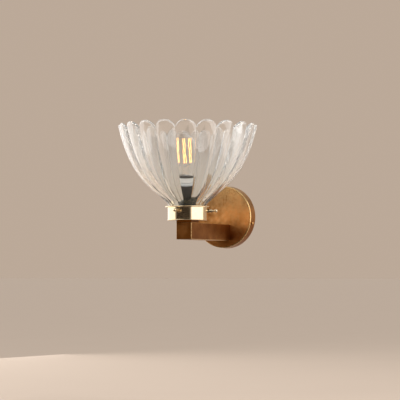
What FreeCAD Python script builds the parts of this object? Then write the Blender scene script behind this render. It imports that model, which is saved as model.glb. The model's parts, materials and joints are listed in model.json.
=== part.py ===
# Wall sconce with a fluted glass shell shade, in millimetres.
# The origin is the centre of the wall plate's back, on the wall. +Z is up and the arm reaches out along -Y.
import FreeCAD, Part
import math
import os
from FreeCAD import Placement, Rotation, Vector

# ---- Wall plate: a shallow spun brass dish ----
PLATE_R = 50.0
PLATE_DEPTH = 16.0
PLATE_WALL = 1.2
PLATE_DRAFT = 0.7
PLATE_ROUND = 1.5
PLATE_INNER_ROUND = 0.3

# ---- Wall bracket: a steel disc with two bent ears ----
BRACKET_R = 36.0
BRACKET_T = 1.5
WALL_SLOT_PITCH = 51.0
WALL_SLOT_W = 4.6
WALL_SLOT_L = 9.0
CABLE_HOLE_R = 8.0
EAR_W = 12.0
EAR_DEPTH = 12.0
EAR_TILT = -12.0
EAR_BEND = 1.2
SIDE_SCREW_Y = -8.0

# ---- Screws: head radius, head height, shank radius, shank length (the earth screw's follows its grip) ----
SIDE_SCREW = (2.6, 1.8, 1.45, 6.0)
ARM_SCREW = (3.5, 2.2, 1.95, 9.0)
BLOCK_SCREW = (2.5, 1.4, 1.25, 11.0)
EARTH_SCREW = (3.6, 2.2, 1.95)
CLAMP_SCREW = (1.5, 1.2, 1.2, 2.6)
SLOT_W = 0.7
SLOT_DEPTH = 0.6
HEAD_SIDE_SHARE = 0.35
CROWN_R_SHARE = 0.6
CROWN_H_SHARE = 0.9
SCREW_HOLE_GAP = 0.3
THREAD_GAP = 0.05

# ---- Terminal block on the bracket ----
POLES = 3
POLE_PITCH = 10.0
BLOCK_H = 15.0
BLOCK_D = 10.0
BLOCK_Z = 20.5
BLOCK_CHAMFER = 0.8
POLE_TUBE_R = 2.3
POLE_TUBE_BORE = 1.5
POLE_TUBE_INSET = 0.4
CLAMP_PITCH = 8.0
CLAMP_WELL_GAP = 0.25

# ---- Earth connection ----
EARTH_X = -14.0
EARTH_Z = -20.0
EYELET_R = 4.0
EYELET_T = 0.8
BARREL_R = 1.6
BARREL_L = 5.0
EYELET_REACH = 4.2

# ---- Arm: a square brass tube on a foot block, closed by a cap ----
ARM_SIDE = 26.0
ARM_WALL = 1.5
ARM_EDGE = 0.6
ARM_Z = -25.0
ARM_REACH = 140.0
FOOT_L = 12.0
ARM_SCREW_OFFSET = 7.0
CAP_T = 1.5
CAP_BEVEL = 0.5
CAP_SPIGOT = 3.0
BRAZE_GAP = 0.1

# ---- Wires and the bush that they pass through ----
WIRE_R = 1.0
WIRE_X = 1.6
WIRE_BEND = 7.0
WIRE_ELBOW = math.radians(30)
BEND_SHARE = 0.45
WIRE_TUCK = 3.0
WIRE_DROP = 9.0
WIRE_SAG = 1.2
WIRE_LIFT = 0.6
BUSH_R = 4.0
BUSH_BORE = 3.0
BUSH_FLANGE_R = 4.9
BUSH_FLANGE_T = 1.2
BUSH_SLEEVE = 5.0
BUSH_GAP = 0.1

# ---- Gallery: the cup that holds the shade, on a hollow threaded stem ----
STEM_R = 5.0
STEM_BORE = 3.6
STEM_TAIL = 1.1
STEM_NOSE = 5.3
STEM_GAP = 0.1
WASHER_R = 8.0
WASHER_T = 1.0
NUT_FLATS = 14.0
NUT_T = 3.0
NUT_CHAMFER = 0.4
SPACER_T = 3.0
SPACER_INSET = 0.3
CUP_R = 30.5
CUP_H = 22.0
CUP_WALL = 1.2
CUP_CORNER = 0.8
CUP_BEAD = 0.7
FLANGE_W = 4.0
FLANGE_T = 2.0
SEAT_T = 1.5
SEAT_W = 5.6

# ---- Thumbscrews round the cup, with soft tips that bear on the glass ----
THUMB_SIDES = ("front", "right", "left")
THUMB_DROP = 7.0
BOSS_R = 3.2
BOSS_L = 2.5
THUMB_SHANK_R = 1.85
THUMB_GRIP_GAP = 1.5
COLLAR_R = 2.2
COLLAR_L = 3.1
THUMB_NECK_R = 1.3
THUMB_NECK_L = 3.6
BALL_R = 2.5
TIP_R = 1.8
TIP_T = 1.2
TIP_PEG_R = 0.7
TIP_PEG_L = 1.6
TIP_GAP = 0.3
TIP_END_GAP = 0.1
RUN_GAP = 0.05

# ---- Shade: pressed clear glass, fluted and scalloped ----
FLUTES = 20
SHADE_TURN = 7.5
COLUMN_EVEN_SHARE = 0.25
WALL_ROWS = 24
LIP_ROWS = 6
HALF_COLUMNS = 4
PROFILE_STEPS = 300
LEAN_STEP = 0.5
NECK_GAP = 1.8
NECK_H = 14.3
NECK_PULL = 22.5
RIM_R = 106.8
RIM_ANGLE = 12.5
RIM_PULL = 105.0
RIM_Z = 136.0
RIM_ARCH = 10.0
GLASS_T = 4.5
FLUTE_OUT = 4.5
FLUTE_IN = 0.8
FLUTE_GROWTH = 0.6

# ---- Lampholder: black moulded base and skirt round a contact core ----
HOLDER_BASE_R = 9.8
HOLDER_WAIST_R = 11.0
HOLDER_TOP_R = 12.2
HOLDER_BASE_H = 18.8
HOLDER_SKIRT_H = 30.0
HOLDER_WALL = 1.6
HOLDER_FLOOR = 6.0
HOLDER_LIP = 1.0
CORE_FLOOR = 10.0
CORE_GAP = 0.1
SHELL_R = 7.4
SHELL_T = 0.4
SHELL_TOP_GAP = 0.5
SHELL_H = 12.0
CONTACT_W = 4.0
CONTACT_T = 0.5
HOLDER_TERMINAL = 3.0
HOLDER_TERMINAL_L = 10.0
HOLDER_TERMINAL_X = 4.5

# ---- Lamp: a candle bulb with a small screw cap and four filaments ----
CAP_R = 6.9
CAP_TUCK = 10.5
CAP_SHOWING = 12.0
CAP_THREAD_PITCH = 2.8
CAP_THREAD_DEPTH = 0.6
CAP_THREADS = 5
CAP_WALL = 0.4
CAP_SHOULDER = 2.0
INSULATOR_H = 3.0
INSULATOR_R = 5.6
TIP_CONTACT_R = 2.4
TIP_CONTACT_H = 1.3
TIP_CROWN_R_SHARE = 0.7
TIP_CROWN_H_SHARE = 0.3
COLLAR_RING_R = 8.6
COLLAR_RING_H = 3.0
GLASS_NECK_R = 7.2
GLASS_BELLY_R = 17.5
GLASS_BELLY_UP = 30.0
GLASS_H = 73.0
GLASS_WALL = 0.8
GLASS_TIP_R = 2.4
GLASS_TUCK = 2.0
GLASS_NECK_PULL = 9.0
GLASS_BELLY_PULL = 15.0
GLASS_TIP_PULL = 14.0
GLASS_TAPER = 20.0
GLASS_TIP_FULLNESS = 0.55
PINCH_H = 6.0
PINCH_R_SHARE = 0.7
PINCH_SHOULDER = 2.0
PINCH_ROD_R = 1.6
PINCH_ROD_H = 16.0
FILAMENTS = 4
FILAMENT_R = 0.8
FILAMENT_L = 38.0
FILAMENT_RING_R = 4.6
FILAMENT_UP = 24.0
FILAMENT_TURN = 49.0
LEAD_R = 0.3

CONTACT_GAP = 0.3
OVERRUN = 1.0
FLAT_ENOUGH = 0.001
EXACT = 1e-6

# ---- Levels that follow from the sizes above ----
ARM_TOP = ARM_Z + ARM_SIDE / 2
CUP_Z = ARM_TOP + SPACER_T
CUP_FLOOR_Z = CUP_Z + CUP_WALL
CUP_TOP_Z = CUP_Z + CUP_H
CUP_BORE_R = CUP_R - CUP_WALL
FLANGE_R = CUP_R + FLANGE_W
NECK_R = CUP_BORE_R - NECK_GAP
SHADE_FOOT_Z = CUP_FLOOR_Z + SEAT_T
THUMB_Z = CUP_TOP_Z - THUMB_DROP
HOLDER_Z = CUP_FLOOR_Z + NUT_T
HOLDER_WAIST_Z = HOLDER_Z + HOLDER_BASE_H
HOLDER_TOP_Z = HOLDER_WAIST_Z + HOLDER_SKIRT_H
HOLDER_BORE_R = HOLDER_WAIST_R - HOLDER_WALL
CAP_Z = HOLDER_TOP_Z - CAP_TUCK
GLASS_Z = HOLDER_TOP_Z + CAP_SHOWING
LAMP_TIP_Z = CAP_Z - INSULATOR_H - TIP_CONTACT_H
PLATE_BACK = -PLATE_DEPTH + PLATE_WALL
LAMP_AXIS = Vector(0, -ARM_REACH, 0)
UP = Vector(0, 0, 1)
OUT_OF_WALL = Vector(0, -1, 0)
INTO_WALL = Vector(0, 1, 0)


# ---- Helpers ----
def rod(radius, start, direction, length):
    return Part.makeCylinder(radius, length, start, direction)


def block(x_range, y_range, z_range):
    corner = Vector(min(x_range), min(y_range), min(z_range))
    sides = [max(side) - min(side) for side in (x_range, y_range, z_range)]
    return Part.makeBox(sides[0], sides[1], sides[2], corner)


def turned(outline):
    """Turn an outline about Z: points (radius, height), or a middle and an end point of an arc."""
    edges = []
    here = outline[0]
    for step in outline[1:] + [outline[0]]:
        if len(step) == 4:
            middle, there = step[:2], step[2:]
            edges.append(Part.Arc(flat(here), flat(middle), flat(there)).toShape())
        else:
            there = step
            if math.dist(here, there) > EXACT:
                edges.append(Part.makeLine(flat(here), flat(there)))
        here = there
    return Part.Face(Part.Wire(edges)).revolve(Vector(0, 0, 0), UP, 360)


def flat(point):
    return Vector(point[0], 0, point[1])


def edges_at_y(shape, y):
    return [edge for edge in shape.Edges if abs(edge.CenterOfMass.y - y) < EXACT]


def on_lamp_axis(shape):
    shape.translate(LAMP_AXIS)
    return shape


def facing(shape, start, direction):
    """Place a shape made along +Z so that it starts at a point and runs along a direction."""
    shape.Placement = Placement(start, Rotation(UP, direction))
    return shape


def screw(sizes, start, direction):
    """A slotted screw whose head seats at start and whose shank runs against direction."""
    head_r, head_h, shank_r, shank_l = sizes
    crown = (head_r * CROWN_R_SHARE, head_h * CROWN_H_SHARE, 0, head_h)
    head = turned([(0, 0), (head_r, 0), (head_r, head_h * HEAD_SIDE_SHARE), crown])
    body = head.fuse(rod(shank_r, Vector(0, 0, -shank_l), UP, shank_l))
    slot = block((-head_r, head_r), (-SLOT_W / 2, SLOT_W / 2), (head_h - SLOT_DEPTH, head_h + OVERRUN))
    return facing(body.cut(slot), start, direction)


def nut(z):
    """A hexagon nut on the stem, its underside at z."""
    corner = NUT_FLATS / 2 / math.cos(math.pi / 6)
    ring = [Vector(corner * math.cos(k * math.pi / 3), corner * math.sin(k * math.pi / 3), z)
            for k in range(6)]
    body = Part.Face(Part.makePolygon(ring + ring[:1])).extrude(Vector(0, 0, NUT_T))
    bevel = turned([(0, z), (corner - NUT_CHAMFER, z), (corner, z + NUT_CHAMFER),
                    (corner, z + NUT_T - NUT_CHAMFER), (corner - NUT_CHAMFER, z + NUT_T), (0, z + NUT_T)])
    hole = rod(STEM_R + THREAD_GAP, Vector(0, 0, z - OVERRUN), UP, NUT_T + 2 * OVERRUN)
    return on_lamp_axis(body.common(bevel).cut(hole))


def washer(radius, hole, thickness, z):
    return on_lamp_axis(turned([(hole, z), (radius, z), (radius, z + thickness), (hole, z + thickness)]))


def wire_along(name, points):
    """A round wire on straight runs joined by tangent arcs, as large as the runs and the bores allow."""
    edges = []
    radii = []
    start = points[0]
    for before, corner, after in zip(points, points[1:], points[2:]):
        arrive = (corner - before).normalize()
        leave = (after - corner).normalize()
        half_turn = arrive.getAngle(leave) / 2
        shorter = min((corner - before).Length, (after - corner).Length)
        reach = BEND_SHARE * shorter
        if half_turn > WIRE_ELBOW:
            reach = min(reach, WIRE_BEND * math.tan(half_turn))
        bend = reach / math.tan(half_turn)
        first = corner - arrive * reach
        last = corner + leave * reach
        to_centre = (leave - arrive).normalize()
        centre = corner + to_centre * (bend / math.cos(half_turn))
        edges.append(Part.makeLine(start, first))
        edges.append(Part.Arc(first, centre - to_centre * bend, last).toShape())
        radii.append(round(bend, 1))
        start = last
    edges.append(Part.makeLine(start, points[-1]))
    path = Part.Wire(edges)
    section = Part.Wire(Part.makeCircle(WIRE_R, points[0], points[1] - points[0]))
    tube = path.makePipeShell([section], True, False)
    share = tube.Volume / (math.pi * WIRE_R ** 2 * path.Length)
    print(name, "length", round(path.Length, 1), "bends", radii, "volume share", round(share, 4))
    return tube


# ---- Wall side ----
def plate_outer_r(y):
    return PLATE_R + PLATE_DRAFT * y / PLATE_DEPTH


def ear_direction(side):
    angle = math.radians(EAR_TILT)
    return Vector(side * math.cos(angle), 0, side * math.sin(angle))


def ear_face_r():
    """Distance of the ears' outer faces, so that their corners clear the drafted rim."""
    rim_bore = plate_outer_r(-EAR_DEPTH) - PLATE_WALL - TIP_GAP
    return math.sqrt(rim_bore ** 2 - (EAR_W / 2) ** 2)


def block_screw_places():
    return [Vector(side * POLE_PITCH / 2, 0, BLOCK_Z) for side in (-1, 1)]


def wall_bracket():
    disc = rod(BRACKET_R, Vector(0, 0, 0), OUT_OF_WALL, BRACKET_T)
    reach = ear_face_r()
    ear = block((0, reach), (0, -BRACKET_T), (-EAR_W / 2, EAR_W / 2))
    tab = block((reach - BRACKET_T, reach), (0, -EAR_DEPTH), (-EAR_W / 2, EAR_W / 2))
    ear = ear.fuse(tab).removeSplitter()
    heel = [edge for edge in ear.Edges
            if abs(edge.CenterOfMass.x - reach) < EXACT and abs(edge.CenterOfMass.y) < EXACT]
    ear = ear.makeFillet(EAR_BEND, heel)
    thread = rod(SIDE_SCREW[2] + THREAD_GAP, Vector(reach - 2 * BRACKET_T, SIDE_SCREW_Y, 0),
                 Vector(1, 0, 0), 3 * BRACKET_T)
    ear = ear.cut(thread)
    for turn in (0, 180):
        copy = ear.copy()
        copy.rotate(Vector(0, 0, 0), INTO_WALL, turn - EAR_TILT)
        disc = disc.fuse(copy)
    holes = [rod(CABLE_HOLE_R, Vector(0, OVERRUN, 0), OUT_OF_WALL, BRACKET_T + 2 * OVERRUN)]
    for side in (-1, 1):
        middle = side * WALL_SLOT_PITCH / 2
        half = WALL_SLOT_L / 2 - WALL_SLOT_W / 2
        holes.append(block((middle - half, middle + half), (OVERRUN, -BRACKET_T - OVERRUN),
                           (-WALL_SLOT_W / 2, WALL_SLOT_W / 2)))
        for end in (middle - half, middle + half):
            holes.append(rod(WALL_SLOT_W / 2, Vector(end, OVERRUN, 0), OUT_OF_WALL, BRACKET_T + 2 * OVERRUN))
    for place in block_screw_places():
        holes.append(rod(BLOCK_SCREW[2] + THREAD_GAP, place + INTO_WALL * OVERRUN, OUT_OF_WALL,
                         BRACKET_T + 2 * OVERRUN))
    holes.append(rod(EARTH_SCREW[2] + THREAD_GAP, Vector(EARTH_X, OVERRUN, EARTH_Z), OUT_OF_WALL,
                     BRACKET_T + 2 * OVERRUN))
    return disc.cut(holes).removeSplitter()


def arm_screw_places(y):
    return [Vector(side * ARM_SCREW_OFFSET, y, ARM_Z - side * ARM_SCREW_OFFSET) for side in (-1, 1)]


def wall_plate():
    front_r = plate_outer_r(-PLATE_DEPTH)
    corner = PLATE_ROUND * (1 - math.sqrt(0.5))
    inner_corner = PLATE_INNER_ROUND * (1 - math.sqrt(0.5))
    bore = front_r - PLATE_WALL
    floor = PLATE_DEPTH - PLATE_WALL
    dish = turned([
        (0, floor), (bore - PLATE_INNER_ROUND, floor),
        (bore - inner_corner, floor - inner_corner, bore, floor - PLATE_INNER_ROUND),
        (PLATE_R - PLATE_WALL, 0), (PLATE_R, 0), (front_r, PLATE_DEPTH - PLATE_ROUND),
        (front_r - corner, PLATE_DEPTH - corner, front_r - PLATE_ROUND, PLATE_DEPTH),
        (0, PLATE_DEPTH),
    ])
    dish = facing(dish, Vector(0, 0, 0), OUT_OF_WALL)
    through = PLATE_WALL + 2 * OVERRUN
    holes = [rod(BUSH_R + BUSH_GAP, Vector(0, PLATE_BACK + OVERRUN, ARM_Z), OUT_OF_WALL, through)]
    for place in arm_screw_places(PLATE_BACK + OVERRUN):
        holes.append(rod(ARM_SCREW[2] + SCREW_HOLE_GAP, place, OUT_OF_WALL, through))
    for side in (-1, 1):
        start = ear_direction(side) * (PLATE_R - 3 * PLATE_WALL) + Vector(0, SIDE_SCREW_Y, 0)
        holes.append(rod(SIDE_SCREW[2] + SCREW_HOLE_GAP, start, ear_direction(side), 4 * PLATE_WALL))
    return dish.cut(holes)


def side_screws():
    """The two small screws that hold the plate's rim to the bracket's ears."""
    seat = plate_outer_r(SIDE_SCREW_Y + SIDE_SCREW[0]) + THREAD_GAP
    return Part.makeCompound([
        screw(SIDE_SCREW, ear_direction(side) * seat + Vector(0, SIDE_SCREW_Y, 0), ear_direction(side))
        for side in (-1, 1)])


# ---- Terminal block and earth ----
def pole_places():
    return [(k - (POLES - 1) / 2) * POLE_PITCH for k in range(POLES)]


def pole_y():
    return -BRACKET_T - BLOCK_D / 2


def clamp_places():
    return [(x, BLOCK_Z + side * CLAMP_PITCH / 2) for x in pole_places() for side in (-1, 1)]


def terminal_block():
    half_w = POLES * POLE_PITCH / 2
    front = -BRACKET_T - BLOCK_D
    body = block((-half_w, half_w), (-BRACKET_T, front), (BLOCK_Z - BLOCK_H / 2, BLOCK_Z + BLOCK_H / 2))
    body = body.makeChamfer(BLOCK_CHAMFER, edges_at_y(body, front))
    cuts = []
    for x in pole_places():
        cuts.append(rod(POLE_TUBE_R + CORE_GAP, Vector(x, pole_y(), BLOCK_Z - BLOCK_H), UP, 2 * BLOCK_H))
    for x, z in clamp_places():
        cuts.append(rod(CLAMP_SCREW[0] + CLAMP_WELL_GAP, Vector(x, pole_y(), z), OUT_OF_WALL, BLOCK_D))
    for place in block_screw_places():
        cuts.append(rod(BLOCK_SCREW[2] + SCREW_HOLE_GAP, place, OUT_OF_WALL, 2 * BLOCK_D))
    return body.cut(cuts)


def terminal_tubes():
    tubes = []
    length = BLOCK_H - 2 * POLE_TUBE_INSET
    for x in pole_places():
        start = Vector(x, pole_y(), BLOCK_Z - length / 2)
        tube = rod(POLE_TUBE_R, start, UP, length).cut(rod(POLE_TUBE_BORE, start, UP, length))
        for side in (-1, 1):
            place = Vector(x, pole_y(), BLOCK_Z + side * CLAMP_PITCH / 2)
            tube = tube.cut(rod(CLAMP_SCREW[2] + THREAD_GAP, place, OUT_OF_WALL, BLOCK_D))
        tubes.append(tube)
    return Part.makeCompound(tubes)


def terminal_screws():
    """Clamp screws, their shanks ending just above the wires in the tubes."""
    seat = pole_y() - WIRE_R - CONTACT_GAP - CLAMP_SCREW[3]
    return Part.makeCompound([screw(CLAMP_SCREW, Vector(x, seat, z), OUT_OF_WALL) for x, z in clamp_places()])


def block_screws():
    seat = OUT_OF_WALL * (BRACKET_T + BLOCK_D)
    return Part.makeCompound([screw(BLOCK_SCREW, place + seat, OUT_OF_WALL)
                              for place in block_screw_places()])


def barrel_end():
    """Where the earth wire enters the eyelet's barrel, which starts beyond the screw's head."""
    return Vector(EARTH_X, -BRACKET_T - BARREL_R, EARTH_Z + EYELET_REACH + BARREL_L)


def earth_eyelet():
    """A ring, its tongue and a crimped barrel, clamped under the earth screw."""
    ring = rod(EYELET_R, Vector(EARTH_X, -BRACKET_T, EARTH_Z), OUT_OF_WALL, EYELET_T)
    end = barrel_end()
    tongue = block((EARTH_X - BARREL_R, EARTH_X + BARREL_R), (-BRACKET_T, -BRACKET_T - EYELET_T),
                   (EARTH_Z, end.z - BARREL_L / 2))
    ring = ring.fuse(tongue)
    barrel = rod(BARREL_R, end - UP * BARREL_L, UP, BARREL_L)
    hole = rod(EARTH_SCREW[2] + SCREW_HOLE_GAP, Vector(EARTH_X, 0, EARTH_Z), OUT_OF_WALL, 2 * BLOCK_D)
    return ring.fuse(barrel).cut(hole)


def earth_screw():
    """Clamps the eyelet to the bracket, with its end flush with the bracket's back."""
    grip = BRACKET_T + EYELET_T
    return screw(EARTH_SCREW + (grip,), Vector(EARTH_X, -grip, EARTH_Z), OUT_OF_WALL)


def earth_wire():
    pole_x = pole_places()[0]
    foot = barrel_end()
    below = BLOCK_Z - BLOCK_H / 2
    return wire_along("earth_wire", [
        Vector(pole_x, pole_y(), below + WIRE_TUCK), Vector(pole_x, pole_y(), below - WIRE_DROP),
        foot + Vector(WIRE_R, -2 * WIRE_R, WIRE_DROP + 2 * WIRE_R), foot + UP * BARREL_L, foot])


def lamp_wire(name, pole, side):
    """A wire from its terminal, down behind the plate, along the arm and up the stem."""
    pole_x = pole_places()[pole]
    x = side * WIRE_X
    below = BLOCK_Z - BLOCK_H / 2
    end_x = side * HOLDER_TERMINAL_X
    end_z = HOLDER_WAIST_Z + CORE_FLOOR - HOLDER_TERMINAL_L - OVERRUN
    run = ARM_REACH - PLATE_DEPTH
    behind = PLATE_BACK + 5 * WIRE_R
    return wire_along(name, [
        Vector(pole_x, pole_y(), below + WIRE_TUCK), Vector(pole_x, pole_y(), below - WIRE_DROP),
        Vector((pole_x + 2 * x) / 3, behind, ARM_TOP + 2 * WIRE_R), Vector(x, behind, ARM_Z),
        Vector(x, -PLATE_DEPTH - run / 3, ARM_Z - WIRE_SAG),
        Vector(x, -PLATE_DEPTH - run * 2 / 3, ARM_Z + WIRE_LIFT),
        Vector(x, -ARM_REACH, ARM_Z), Vector(x, -ARM_REACH, HOLDER_Z + STEM_NOSE),
        Vector(end_x, -ARM_REACH, end_z - 2 * WIRE_TUCK), Vector(end_x, -ARM_REACH, end_z)])


# ---- Arm ----
def plate_bush():
    """A soft bush that lines the wire hole from the plate into the foot block."""
    back = PLATE_BACK + BUSH_FLANGE_T
    flange = rod(BUSH_FLANGE_R, Vector(0, back, ARM_Z), OUT_OF_WALL, BUSH_FLANGE_T)
    flange = flange.fuse(rod(BUSH_R, Vector(0, back, ARM_Z), OUT_OF_WALL, BUSH_FLANGE_T + BUSH_SLEEVE))
    return flange.cut(rod(BUSH_BORE, Vector(0, back + OVERRUN, ARM_Z), OUT_OF_WALL, 2 * BUSH_SLEEVE))


def arm_screws():
    return Part.makeCompound([screw(ARM_SCREW, place, INTO_WALL) for place in arm_screw_places(PLATE_BACK)])


def square_bar(half, y_range, edge):
    bar = block((-half, half), y_range, (ARM_Z - half, ARM_Z + half))
    length = max(y_range) - min(y_range)
    along = [e for e in bar.Edges if abs(e.BoundBox.YLength - length) < EXACT]
    return bar.makeFillet(edge, along)


def arm_foot():
    half = ARM_SIDE / 2 - ARM_WALL - BRAZE_GAP
    body = square_bar(half, (-PLATE_DEPTH, -PLATE_DEPTH - FOOT_L), ARM_EDGE)
    cuts = [rod(BUSH_R + BUSH_GAP, Vector(0, 0, ARM_Z), OUT_OF_WALL, 2 * ARM_REACH)]
    for place in arm_screw_places(0):
        cuts.append(rod(ARM_SCREW[2] + THREAD_GAP, place, OUT_OF_WALL, 2 * ARM_REACH))
    return body.cut(cuts)


def arm_end_y():
    return -ARM_REACH - ARM_SIDE / 2


def arm_tube():
    span = (-PLATE_DEPTH, arm_end_y() + CAP_T)
    inner_span = (-PLATE_DEPTH + OVERRUN, arm_end_y())
    tube = square_bar(ARM_SIDE / 2, span, ARM_EDGE)
    tube = tube.cut(square_bar(ARM_SIDE / 2 - ARM_WALL, inner_span, ARM_EDGE / 2))
    return tube.cut(rod(STEM_R + STEM_GAP, LAMP_AXIS + UP * ARM_Z, UP, ARM_SIDE))


def arm_end_cap():
    """The cap that closes the arm: a bevelled plate with a spigot inside the tube."""
    end = arm_end_y()
    plate = square_bar(ARM_SIDE / 2, (end, end + CAP_T), ARM_EDGE)
    plate = plate.makeChamfer(CAP_BEVEL, edges_at_y(plate, end))
    half = ARM_SIDE / 2 - ARM_WALL - BRAZE_GAP
    return plate.fuse(square_bar(half, (end + CAP_T, end + CAP_T + CAP_SPIGOT), ARM_EDGE))


# ---- Gallery ----
def gallery_stem():
    low = ARM_TOP - ARM_WALL - WASHER_T - NUT_T - STEM_TAIL
    high = HOLDER_Z + STEM_NOSE
    return on_lamp_axis(turned([(STEM_BORE, low), (STEM_R, low), (STEM_R, high), (STEM_BORE, high)]))


def arm_washer():
    return washer(WASHER_R, STEM_R + STEM_GAP, WASHER_T, ARM_TOP - ARM_WALL - WASHER_T)


def arm_nut():
    return nut(ARM_TOP - ARM_WALL - WASHER_T - NUT_T)


def gallery_spacer():
    """The square pad between the arm and the cup, with a hole for the stem."""
    half = ARM_SIDE / 2 - SPACER_INSET
    pad = block((-half, half), (-half, half), (ARM_TOP, CUP_Z))
    return on_lamp_axis(pad.cut(rod(STEM_R + STEM_GAP, UP * ARM_TOP, UP, SPACER_T)))


def gallery_nut():
    return nut(CUP_FLOOR_Z)


def thumb_direction(side):
    angle = 2 * math.pi * THUMB_SIDES.index(side) / len(THUMB_SIDES)
    return Vector(math.sin(angle), -math.cos(angle), 0)


def thumb_axis_point():
    return LAMP_AXIS + UP * THUMB_Z


def gallery_cup():
    """The spun cup: a flat floor, an upright wall, a foot bead and a rounded flange."""
    slope = CUP_CORNER * (1 - math.sqrt(0.5))
    hole = STEM_R + STEM_GAP
    flange_z = CUP_TOP_Z - FLANGE_T
    cup = turned([
        (hole, CUP_Z), (CUP_R, CUP_Z),
        (CUP_R + CUP_BEAD, CUP_Z + CUP_BEAD, CUP_R, CUP_Z + 2 * CUP_BEAD),
        (CUP_R, flange_z), (FLANGE_R - FLANGE_T / 2, flange_z),
        (FLANGE_R, flange_z + FLANGE_T / 2, FLANGE_R - FLANGE_T / 2, CUP_TOP_Z),
        (CUP_BORE_R + CUP_CORNER, CUP_TOP_Z),
        (CUP_BORE_R + slope, CUP_TOP_Z - slope, CUP_BORE_R, CUP_TOP_Z - CUP_CORNER),
        (CUP_BORE_R, CUP_FLOOR_Z), (hole, CUP_FLOOR_Z),
    ])
    cup = on_lamp_axis(cup)
    holes = [rod(THUMB_SHANK_R + SCREW_HOLE_GAP, thumb_axis_point(), thumb_direction(side), CUP_R + OVERRUN)
             for side in THUMB_SIDES]
    return cup.cut(holes)


def gallery_bosses():
    """The three tapped bosses brazed to the cup's wall, one for each thumbscrew."""
    wall = on_lamp_axis(Part.makeCylinder(CUP_R, CUP_H, UP * CUP_Z))
    bosses = []
    for side in THUMB_SIDES:
        out = thumb_direction(side)
        boss = rod(BOSS_R, thumb_axis_point() + out * (CUP_R - OVERRUN), out, BOSS_L + OVERRUN).cut(wall)
        bosses.append(boss.cut(rod(THUMB_SHANK_R + RUN_GAP, thumb_axis_point(), out, 2 * CUP_R)))
    return Part.makeCompound(bosses)


def seat_ring():
    return washer(CUP_BORE_R - TIP_GAP, CUP_BORE_R - TIP_GAP - SEAT_W, SEAT_T, CUP_FLOOR_Z)


def tip_face_r():
    return NECK_R + TIP_GAP


def thumbscrew(side):
    """A turned screw: bored end, threaded shank, collar, slim neck and ball."""
    end = tip_face_r() + TIP_T + TIP_END_GAP
    collar = CUP_R + BOSS_L + THUMB_GRIP_GAP
    neck = collar + COLLAR_L
    ball = neck + THUMB_NECK_L + BALL_R
    touch = math.sqrt(BALL_R ** 2 - THUMB_NECK_R ** 2)
    bore = TIP_PEG_R + RUN_GAP
    body = turned([
        (0, end + TIP_PEG_L), (bore, end + TIP_PEG_L), (bore, end), (THUMB_SHANK_R, end),
        (THUMB_SHANK_R, collar), (COLLAR_R, collar), (COLLAR_R, neck), (THUMB_NECK_R, neck),
        (THUMB_NECK_R, ball - touch), (BALL_R, ball, 0, ball + BALL_R)])
    return facing(body, thumb_axis_point(), thumb_direction(side))


def thumbscrew_tip(side):
    face = tip_face_r()
    body = turned([(0, face), (TIP_R, face), (TIP_R, face + TIP_T), (TIP_PEG_R, face + TIP_T),
                   (TIP_PEG_R, face + TIP_T + TIP_PEG_L), (0, face + TIP_T + TIP_PEG_L)])
    return facing(body, thumb_axis_point(), thumb_direction(side))


# ---- Shade ----
def shade_profile():
    """Closely spaced points (radius, height) up the outside of a lobe: straight neck, then a Bezier bowl."""
    rim = math.radians(RIM_ANGLE)
    points = [(NECK_R, SHADE_FOOT_Z + NECK_H * k / PROFILE_STEPS) for k in range(PROFILE_STEPS)]
    first = (NECK_R, SHADE_FOOT_Z + NECK_H)
    second = (NECK_R, first[1] + NECK_PULL)
    third = (RIM_R - RIM_PULL * math.sin(rim), RIM_Z - RIM_PULL * math.cos(rim))
    for k in range(PROFILE_STEPS + 1):
        t = k / PROFILE_STEPS
        weights = ((1 - t) ** 3, 3 * (1 - t) ** 2 * t, 3 * (1 - t) * t ** 2, t ** 3)
        corners = (first, second, third, (RIM_R, RIM_Z))
        points.append(tuple(sum(w * c[axis] for w, c in zip(weights, corners)) for axis in (0, 1)))
    return points


def walk(points):
    """The length along a line of points, up to each point."""
    lengths = [0.0]
    for a, b in zip(points, points[1:]):
        lengths.append(lengths[-1] + math.dist(a, b))
    return lengths


def between(value, keys, values):
    """Straight-line interpolation of a value in rising keys."""
    for k in range(1, len(keys)):
        if keys[k] >= value or k == len(keys) - 1:
            share = (value - keys[k - 1]) / (keys[k] - keys[k - 1])
            return values[k - 1] + share * (values[k] - values[k - 1])


def lobed_radius(peak, depth, angle):
    """Radius at an angle from a lobe's middle, where each lobe is one arc from valley to valley."""
    half = math.pi / FLUTES
    valley = peak - depth
    rise = peak - valley * math.cos(half)
    lobe_r = ((valley * math.sin(half)) ** 2 + rise ** 2) / (2 * rise)
    centre = peak - lobe_r
    return centre * math.cos(angle) + math.sqrt(lobe_r ** 2 - (centre * math.sin(angle)) ** 2)


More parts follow.
